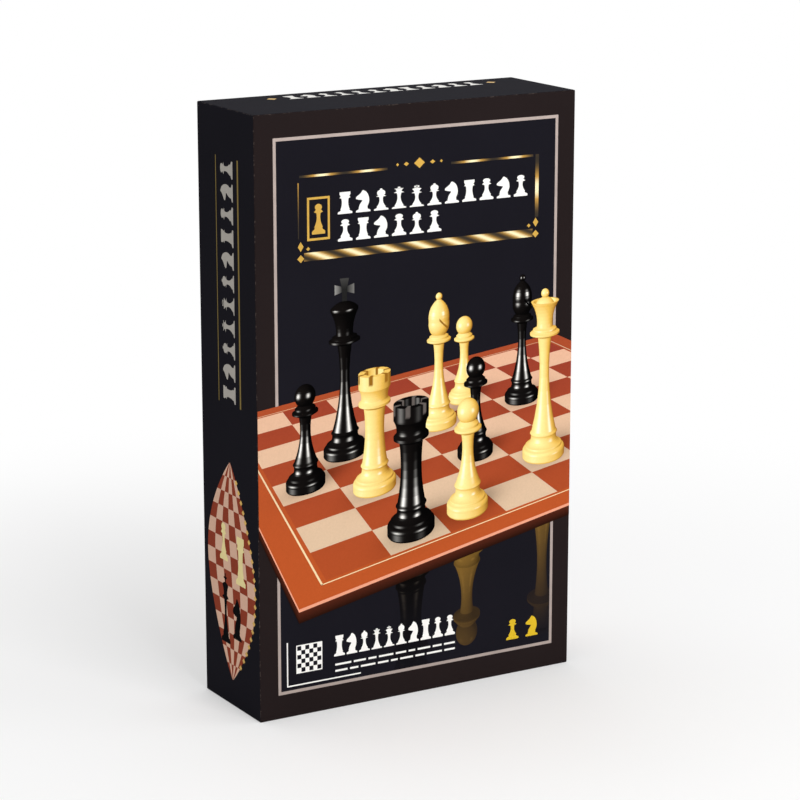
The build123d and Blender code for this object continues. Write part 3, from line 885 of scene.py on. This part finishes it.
def foil_bar(name, start, end, wide, pitch, slant=0.0):
    """A straight foil bar with painted highlights. Its tone is (0.5 - 0.5 cos(2 pi (s + slant c)
    / pitch)) to the power 1.4, where s runs along the bar and c across it: bronze at 0 for painted
    shade, rich gold at 0.6, and a pale painted highlight at 1."""
    start, end = np.array(start, float), np.array(end, float)
    length = float(np.hypot(*(end - start)))
    way = (end - start) / length
    s = np.linspace(0, length, int(length / 0.6) + 2)[None, :]
    c = np.linspace(-wide / 2, wide / 2, 7)[:, None]
    u = start[0] + s * way[0] - c * way[1]
    v = start[1] + s * way[1] + c * way[0]
    # painted highlight and shade: the tone sweeps from dark to bright and back along the bar
    tone = ((0.5 - 0.5 * np.cos(2 * math.pi * (s + slant * c) / pitch)) ** 1.4)[..., None]
    inks = np.where(tone < 0.6, bronze + (rich_gold - bronze) * tone / 0.6,
                    rich_gold + (painted_highlight_gold - rich_gold) * (tone - 0.6) / 0.4)
    mesh_object(name, on_panel("front", u, v, INK_LIFT), quad_rows(*u.shape), painted_highlight_foil, inks)


def diamond(x, z, wide, tall):
    """A lozenge centred on a point."""
    return [(x, z - tall / 2), (x + wide / 2, z), (x, z + tall / 2), (x - wide / 2, z)]


for name, start, end, *looks in (
        ("ribbon", (panel_left + 3, panel_low), (panel_right - 3, panel_low), 3.6, 16.5, 2.4),
        ("right_bar", (right_line, panel_low + 7), (right_line, panel_top), 1.8, 26),
        ("top_left", (panel_left + 1, top_line), (-gap_half, top_line), 1.0, 22),
        ("top_right", (gap_half, top_line), (panel_right - 3, top_line), 1.0, 22),
        ("left_line", (left_line, panel_low + 8), (left_line, panel_top - 3), 0.5, 80)):
    foil_bar(f"cartouche_{name}", start, end, *looks)
ornaments = []
for x, inward in ((panel_left + 1.4, 1), (panel_right - 1.4, -1)):
    ornaments += [diamond(x, panel_low - 0.6, 3.4, 3.4), diamond(x, panel_low + 4.6, 2.8, 4.2),
                  diamond(x + inward * 3.6, panel_low + 3.4, 1.8, 1.8)]
ornaments += [diamond(x, panel_top + 1.0, w, t) for x, w, t in
              ((-11, 1.4, 1.4), (-6.6, 2.6, 1.8), (0, 5.4, 4.6), (6.6, 2.6, 1.8), (11, 1.4, 1.4))]
print_patches("cartouche_ornaments", "front", ornaments, gold_foil)
print("cartouche", panel_right - panel_left, "mm wide, with", len(ornaments), "lozenges")

# %% [markdown]
# A silhouette is a man's profile and its mirror image joined by level strips. The knight isn't a
# turned shape, so a short table gives his left and right edges. Such shapes are the usual printed
# symbols of a chess diagram, and they stand in here for the words on the box.
# %% Silhouettes
knight_height, knight_radius = 44.0, 8.0
knight_edges = [(0.26, -0.56, 0.60), (0.34, -0.50, 0.72), (0.42, -0.34, 0.80), (0.50, -0.16, 0.84),
                (0.55, -0.12, 0.84), (0.58, -0.62, 0.83), (0.62, -0.98, 0.82), (0.68, -1.02, 0.79),
                (0.74, -0.88, 0.74), (0.82, -0.52, 0.64), (0.90, -0.26, 0.48), (0.95, -0.18, 0.30),
                (1.00, -0.06, 0.06)]  # share of height, then both edges in foot radii


def silhouette(kind, x, z, tall, wide, turned=False):
    """Patches of a flat man of that height and width of foot, whose foot stands at (x, z). Turned,
    he lies with his head to the left."""
    if kind == "knight":
        base = sampled(foot(knight_radius))[:, [1, 0, 0]] * [1, -1, 1]
        head = np.array(knight_edges) * [knight_height, knight_radius, knight_radius]
        half = wide / (2 * knight_radius)
        level, left_edge, right_edge = (
            np.vstack([base, head]) * [tall / knight_height, half, half]).T
    else:
        outline = profile(kind) * [wide / (2 * radii[kind]), tall / heights[kind]]
        right_edge, level = np.maximum(outline[:, 0], 0.05), outline[:, 1]
        left_edge = -right_edge
    starts, ends = np.stack([left_edge, level], -1), np.stack([right_edge, level], -1)
    strips = np.stack([starts[:-1], ends[:-1], ends[1:], starts[1:]], 1)[np.diff(level) > 1e-6]
    if kind == "king":
        arm, top = 0.055 * wide, 0.935 * tall
        cross = bars((-arm, 0.86 * tall, arm, tall), (-3.2 * arm, top - arm, 3.2 * arm, top + arm))
        strips = np.concatenate([strips, np.array(cross)])
    if turned:
        strips = np.stack([-strips[..., 1], strips[..., 0]], -1)
    return list(strips + np.array([x, z]))


def row_of_men(kinds, left_edge, right_edge, base, tall, fill=0.8):
    """Silhouettes in a row between two edges, each as wide as the share fill of its step."""
    step = (right_edge - left_edge) / len(kinds)
    return [patch for index, kind in enumerate(kinds) for patch in silhouette(
        kind, left_edge + (index + 0.5) * step, base, tall, fill * step)]


print("patches in a knight's silhouette", len(silhouette("knight", 0, 0, 9.4, 7.1)))

# %% [markdown]
# The title place gets two rows of symbols, in the order of the men on a board and then mixed, and a
# gold badge with one pawn at their left.
# %% Title place
back_rank = ["rook", "knight", "bishop", "queen", "king", "bishop", "knight", "rook"]
upper_row = back_rank + ["pawn", "knight", "pawn"]
lower_row = ["pawn", "rook", "knight", "pawn", "bishop", "pawn"]
title_left, title_step, title_tall = -41.4, 8.9, 9.4
for name, kinds, base in (("upper", upper_row, 221.8), ("lower", lower_row, 210.0)):
    title_right = title_left + title_step * len(kinds)
    print_patches(f"title_men_{name}", "front",
                  row_of_men(kinds, title_left, title_right, base, title_tall), white_ink)
print_patches("badge_frame", "front", rectangle_line(-55.4, 211.6, -44.4, 230.2, 1.0), gold_foil)
print_patches("badge_man", "front", silhouette("pawn", -49.9, 214.2, 13.0, 6.4), gold_foil)
print("men in the title place", len(upper_row) + len(lower_row) + 1)

# %% [markdown]
# The foot of the front has a thin corner line and small white pictograms where such boxes list
# what is inside: a board, the men, and rows of plain dashes. Two yellow marks stand at the right.
# %% Foot of the front


def dark_squares(left_edge, low_edge, side, count):
    """The dark squares of a board diagram, with one of them at the lower left."""
    corners = ((left_edge + side * i, low_edge + side * j)
               for i in range(count) for j in range(count) if (i + j) % 2 == 0)
    return bars(*((x, z, x + side, z + side) for x, z in corners))


def board_diagram(left_edge, low_edge, side, count, rule):
    """Dark squares, and a ruled line round the board."""
    return dark_squares(left_edge, low_edge, side, count) + rectangle_line(
        left_edge - rule, low_edge - rule, left_edge + side * count + rule,
        low_edge + side * count + rule, rule)


def dashes(left_edge, right_edge, low_edge, tall, offset):
    """A row of plain dashes, whose lengths are 3 to 8.2 mm by steps of the golden ratio."""
    lengths = 3.0 + 5.2 * ((0.618 * np.arange(1, 40) + offset) % 1.0)
    starts = left_edge + np.cumsum(lengths + 1.3) - lengths - 1.3
    return bars(*((a, low_edge, min(a + b, right_edge), low_edge + tall)
                  for a, b in zip(starts, lengths) if a + 2.0 < right_edge))


corner_line = bars((-67.2, 14.6, -66.6, 34.5), (-67.2, 14.0, -30.0, 14.6))
print_patches("foot_pictograms", "front", corner_line + board_diagram(-62.0, 20.0, 2.0, 6, 0.5)
              + dashes(-43.0, 19.0, 17.0, 0.9, 0.0) + dashes(-43.0, 19.0, 19.9, 0.9, 0.37),
              white_ink)
print_patches("foot_men", "front",
              row_of_men(back_rank + ["pawn", "pawn"], -44, 19.5, 24.2, 9.5, 0.85), white_ink)
print_patches("yellow_marks", "front", silhouette("pawn", 50.0, 16.4, 9.6, 6.6)
              + silhouette("knight", 60.5, 16.4, 9.6, 6.6), yellow_ink)
print("foot of the front printed")

# %% [markdown]
# The narrow sides and the top carry print too. Each side has a column of lying men between two gold
# lines, and under it a spindle of squares that narrows to a point at both ends. The spindle is a
# surface of two parameters, cut into squares by them. The top has one row of men.
# %% Sides and top
side_low, side_high = 138.0, 246.0
side_step = (side_high - side_low) / len(upper_row)
spindle_low, spindle_high, spindle_half = 12.0, 112.0, 22.0
spindle_rows, spindle_columns, fine = 14, 6, 6  # fine cuts each row, so its sides are round


def spindle(s, t):
    """Point of the spindle: s from -1 to 1 across, t from 0 to 1 up; half width = 22 sin(pi t) to
    the power 0.85, leaning a little so that it isn't quite even."""
    half = spindle_half * np.sin(math.pi * np.clip(t, 0.0, 1.0)) ** 0.85
    lean = 2.0 * np.sin(2 * math.pi * t)
    return s * half + lean, spindle_low + t * (spindle_high - spindle_low)


side_men = [patch for index, kind in enumerate(upper_row) for patch in silhouette(
    kind, 6.5, side_low + (index + 0.5) * side_step, 11.5, 7.6, turned=True)]
side_lines = bars((-9.6, side_low, -9.0, side_high), (10.4, side_low, 11.6, side_high))
i, j = (index.ravel() for index in np.indices((spindle_columns, spindle_rows * fine)))
cells = np.stack(spindle(2 * (i[:, None] + [0, 1, 1, 0]) / spindle_columns - 1,
                         (j[:, None] + [0, 0, 1, 1]) / (spindle_rows * fine)), -1)
light = (i + j // fine) % 2 == 1
cell_inks = np.repeat(np.where(light[:, None], linear_rgb("#dcb49c"), linear_rgb("#8f3f2c")), 4, 0)
spindle_men = {"cream": silhouette("rook", 9, 58, 22, 9.0) + silhouette("pawn", -7, 66, 17, 7.5),
               "black": silhouette("king", -6, 28, 32, 8.5) + silhouette("knight", 5, 32, 19, 8.0)}
beads = [diamond(*spindle(1.0, t), 2.6, 2.6) for t in np.linspace(0.08, 0.92, 22)]
for panel in ("left_side", "right_side"):
    print_patches(f"{panel}_men", panel, side_men, grey_ink)
    print_patches(f"{panel}_lines", panel, side_lines, dull_gold_ink)
    print_patches(f"{panel}_spindle", panel, cells, picture, inks=cell_inks)
    print_patches(f"{panel}_beads", panel, beads, gold_foil, 1)
    for colour, men in spindle_men.items():
        print_patches(f"{panel}_{colour}_men", panel, men, men_inks[colour], 1)
print_patches("top_men", "top", row_of_men(upper_row + ["pawn"], -44, 56, 10.5, 9.5), white_ink)
print_patches("top_lozenges", "top", [diamond(x, 15, 5.0, 5.0) for x in (-50, 62)], gold_foil)
print("patches in a spindle", len(cells))

# %% [markdown]
# The photograph doesn't show the back or the leaflet. A box of this kind has a picture of the start
# position on its back, so a plain diagram of it is printed there: two inks for the squares, and the
# men as symbols. The leaflet has the same diagram in one grey ink, between rows of dashes.
# %% Back and leaflet
diagram_cell = 13.0
diagram_left, diagram_low, diagram_side = -4 * diagram_cell, 96.0, 8 * diagram_cell
diagram_right, diagram_top = diagram_left + diagram_side, diagram_low + diagram_side
base_half = (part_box("base_wrap")[1].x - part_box("base_wrap")[0].x) / MM / 2


def round_board(margin):
    """Edges of the diagram on the back, widened by a margin."""
    return diagram_left - margin, diagram_low - margin, diagram_right + margin, diagram_top + margin


back_prints = [
    ("board_ground", bars(round_board(6)), flat_ink("rust_brown_ink", "#a64c26"), 0),
    ("board_line", rectangle_line(*round_board(2.4), 0.6), flat_ink("straw_ink", "#e2c996"), 1),
    ("light_squares", bars(round_board(0)), flat_ink("beige_ink", "#cfb799"), 1),
    ("dark_squares", dark_squares(diagram_left, diagram_low, diagram_cell, 8),
     flat_ink("red_brown_ink", "#84382a"), 2)]
for colour, ranks in (("cream", (0, 1)), ("black", (7, 6))):
    men = [patch for rank, kinds in zip(ranks, (back_rank, ["pawn"] * 8)) for patch in row_of_men(
        kinds, diagram_left, diagram_right, diagram_low + rank * diagram_cell + 1.4, 10.2, 0.62)]
    back_prints.append((f"{colour}_men", men, men_inks[colour], 3))
back_dashes = [patch for index in range(6)
               for patch in dashes(-52, 52, 32 + 7 * index, 1.1, 0.21 * index)]
back_prints += [
    ("frame_line", rectangle_line(9 - base_half, 11, base_half - 9, height - 12, 1.2),
     silver_foil, 0),
    ("symbols", row_of_men(back_rank, -36, 36, 219, 10, 0.8) + back_dashes, white_ink, 0)]
for name, *prints in back_prints:
    print_patches(f"back_{name}", "back", *prints, body="base", slot="black_wrap")
leaflet_middle = (leaflet_low.z + leaflet_high.z) / 2 / MM
row_levels = [leaflet_middle + 50 - 5 * index for index in range(5)]
row_levels += [leaflet_middle - 45 - 5 * index for index in range(7)]
leaflet_rows = [patch for index, low_edge in enumerate(row_levels)
                for patch in dashes(-46, 46, low_edge, 0.9, 0.29 * index)]
print_patches("leaflet_diagram", "leaflet", board_diagram(-32, leaflet_middle - 34, 8.0, 8, 0.5)
              + row_of_men(back_rank, -32, 32, leaflet_middle + 60, 11, 0.8) + leaflet_rows,
              flat_ink("dark_grey_ink", "#3b3937"), body="leaflet", slot="leaflet_paper")
print("prints on the back", len(back_prints), "and rows on the leaflet", len(row_levels))

# %% [markdown]
# The printed paper of the board runs across the fold and is the hinge. It can't belong to either
# leaf, so this strip stands on its own: a half round of paper at the fold, between the two leaves.
# %% Fold of the board
back_low, back_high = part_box("board_back_face")
_, front_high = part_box("board_front_face")
fold_points, fold_rows = 9, 40
angle = np.linspace(-math.pi / 2, math.pi / 2, fold_points)
fold_radius = (back_low.y - front_high.y) / 2 - 0.02 * MM
fold_middle = (back_low.y + front_high.y) / 2
levels = np.linspace(back_low.z, back_high.z, fold_rows)
arc_x = back_low.x + 0.05 * MM - fold_radius * np.cos(angle)
arc_y = fold_middle + fold_radius * np.sin(angle)
strip = np.stack(np.broadcast_arrays(arc_x, arc_y, levels[:, None]), -1)
crease = mesh_object("board_crease_paper", strip, quad_rows(fold_rows, fold_points),
                     finishes["board_back_face"], body=None, slot="playing_face")
print("radius of the crease", round(fold_radius / MM, 2), "mm")

# %% [markdown]
# The set stands on a plain pale floor in soft studio light. Close to the set the floor is
# mostly lit like anything else, so it keeps the soft shadow. Further off it turns to plain
# white, as an overlit backdrop does, and so does the world behind it, but only for what the eye
# sees directly or in a reflection. The lamps stay at a level at which a colour renders about as
# it is written.
# %% Floor, light and world
floor_half, box_middle = 3.0, (0, 0, 0.13)  # in metres
room_light = 0.5


def seen_ray(tree):
    """1 for camera, glossy and transmission rays, and 0 for the rays that light other things."""
    rays = add(tree, "LightPath").outputs
    direct = add(tree, "Math", (rays["Is Camera Ray"], rays["Is Glossy Ray"]), operation="MAXIMUM")
    return add(tree, "Math", (direct, rays["Is Transmission Ray"]), operation="MAXIMUM")


def studio_floor():
    """A flat sheet 6 m wide, of matt white. For seen rays plain white is mixed in, 0.3 of it up to
    0.12 m from the middle of the set, and all of it from 0.5 m outwards."""
    material, tree, shader, place = start_material(
        "matt_white_studio_floor", Roughness=0.9, Base_Color=linear("#f8f8f8"))
    distance = add(tree, "VectorMath", (place,), operation="LENGTH")
    fade = add(tree, "MapRange", (distance, 0.12, 0.5, 0.3), interpolation_type="SMOOTHSTEP")
    share = add(tree, "Math", (fade, seen_ray(tree)), operation="MULTIPLY")
    white = add(tree, "Emission", {"Color": linear("#ffffff"), "Strength": 1.0})
    both = add(tree, "MixShader", (share, shader, white))
    plug(tree, tree.nodes["Material Output"], {"Surface": both})
    a = floor_half
    corners = [(-a, -a, 0), (a, -a, 0), (a, a, 0), (-a, a, 0)]
    obj = plain_mesh("studio_floor", corners, [(0, 1, 2, 3)], material)


def softbox(name, place, size, watts):
    """A square area lamp that faces the middle of the box."""
    data = bpy.data.lights.new(name, "AREA")
    data.size, data.energy = size, watts
    way = Vector(place) - Vector(box_middle)
    turn = way.to_track_quat("Z", "Y").to_matrix().to_4x4()
    in_scene(name, data).matrix_world = Matrix.Translation(place) @ turn


studio_floor()
softbox("key_softbox", (0.1, -1.5, 0.9), 0.9, 15)
softbox("fill_softbox", (1.4, -0.9, 0.6), 1.0, 6)
softbox("top_softbox", (-0.1, 0.4, 1.6), 1.1, 6)
world = bpy.data.worlds.new("pale_room")
bpy.context.scene.world = world
world.use_nodes = True
room = world.node_tree
strength = add(room, "Math", (seen_ray(room), 1 - room_light, room_light),
               operation="MULTIPLY_ADD")
plug(room, room.nodes["Background"], {"Color": linear("#ffffff"), "Strength": strength})
print("lamps", [(lamp.name, lamp.energy) for lamp in bpy.data.lights])

# %% [markdown]
# The camera stands where the photographer's stood. Its place and lens come from the corners of the
# box in the photograph: 30 degrees round to the left, 14 degrees above level, and a long lens
# 1.26 m from the middle of the box.
# %% Camera
azimuth, elevation = math.radians(-30.5), math.radians(13.7)
view_scale, picture_side = 2820.0, 800.0  # focal length and picture's side, in pixels
camera_distance, shift_right, shift_up = 4.73, -0.0179, 0.0126  # in heights of the box
tall = height * MM
eye_way = Vector((math.sin(azimuth) * math.cos(elevation),
                  -math.cos(azimuth) * math.cos(elevation), math.sin(elevation)))
right_way = Vector((math.cos(azimuth), math.sin(azimuth), 0))
up_way = eye_way.cross(right_way)
camera_data = bpy.data.cameras.new("camera")
camera_data.sensor_width = 36.0
camera_data.lens = view_scale * camera_data.sensor_width / picture_side
camera = in_scene("camera", camera_data)
middle_of_box = Vector((0, 0, tall / 2))
place = middle_of_box + eye_way * camera_distance * tall
place -= right_way * shift_right * tall + up_way * shift_up * tall
turn = Matrix((right_way, up_way, eye_way)).transposed().to_4x4()
camera.matrix_world = Matrix.Translation(place) @ turn
bpy.context.scene.camera = camera
bpy.context.scene.view_settings.view_transform = "Standard"
print("lens", round(camera_data.lens, 1), "mm, from", round((place - middle_of_box).length, 3), "m")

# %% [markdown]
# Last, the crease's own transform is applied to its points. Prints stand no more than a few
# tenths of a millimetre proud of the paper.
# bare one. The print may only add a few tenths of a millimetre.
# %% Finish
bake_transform(crease)
